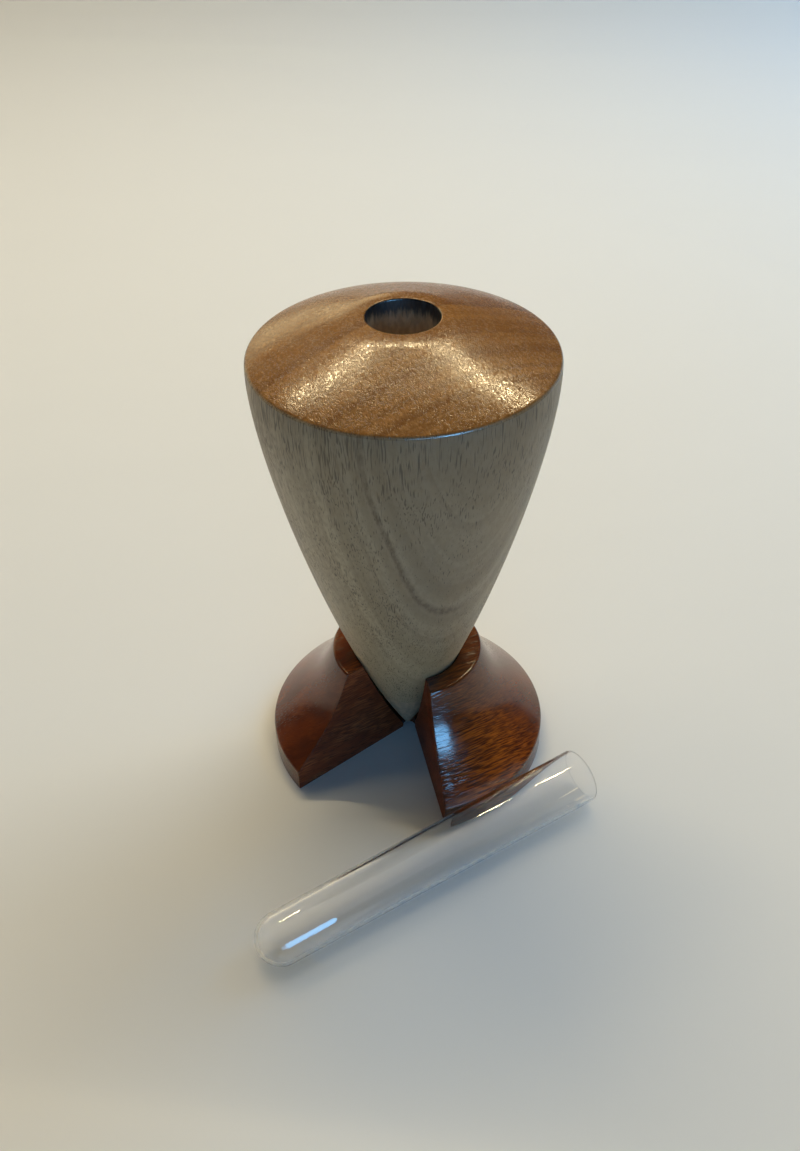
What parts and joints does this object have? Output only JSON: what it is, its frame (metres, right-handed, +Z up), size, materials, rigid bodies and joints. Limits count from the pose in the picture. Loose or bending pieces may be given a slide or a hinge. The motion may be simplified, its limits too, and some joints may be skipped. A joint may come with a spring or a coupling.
{
  "type": "bud vase",
  "caption": "Turned wooden bud vase: tapering conical body with a low domed top and a drilled bore, glued into a round coved foot with a wedge notch, plus a loose clear test tube.",
  "frame": {"origin": "middle of the whole set's footprint, vase and lying tube together, on the table top", "axes": "+Z up along the vase's axis; -Y towards the viewer of the picture, where the notch opens and the tube lies; +X to the viewer's right"},
  "size_m": [0.0904, 0.1228, 0.134],
  "materials": {
    "pale_wood": "waxed satin, open pored",
    "dark_wood": "polished, glossy",
    "clear_plastic": "clear, smooth moulded"
  },
  "bodies": {
    "vase": {"vase_body": "pale_wood", "base": "dark_wood"},
    "tube": {"test_tube": "clear_plastic"}
  },
  "joints": [
    {"name": "tube_lift", "type": "slide", "parent": "vase", "child": "tube", "axis": [0, 0, 1], "range_m": [0, 0.15]}
  ]
}
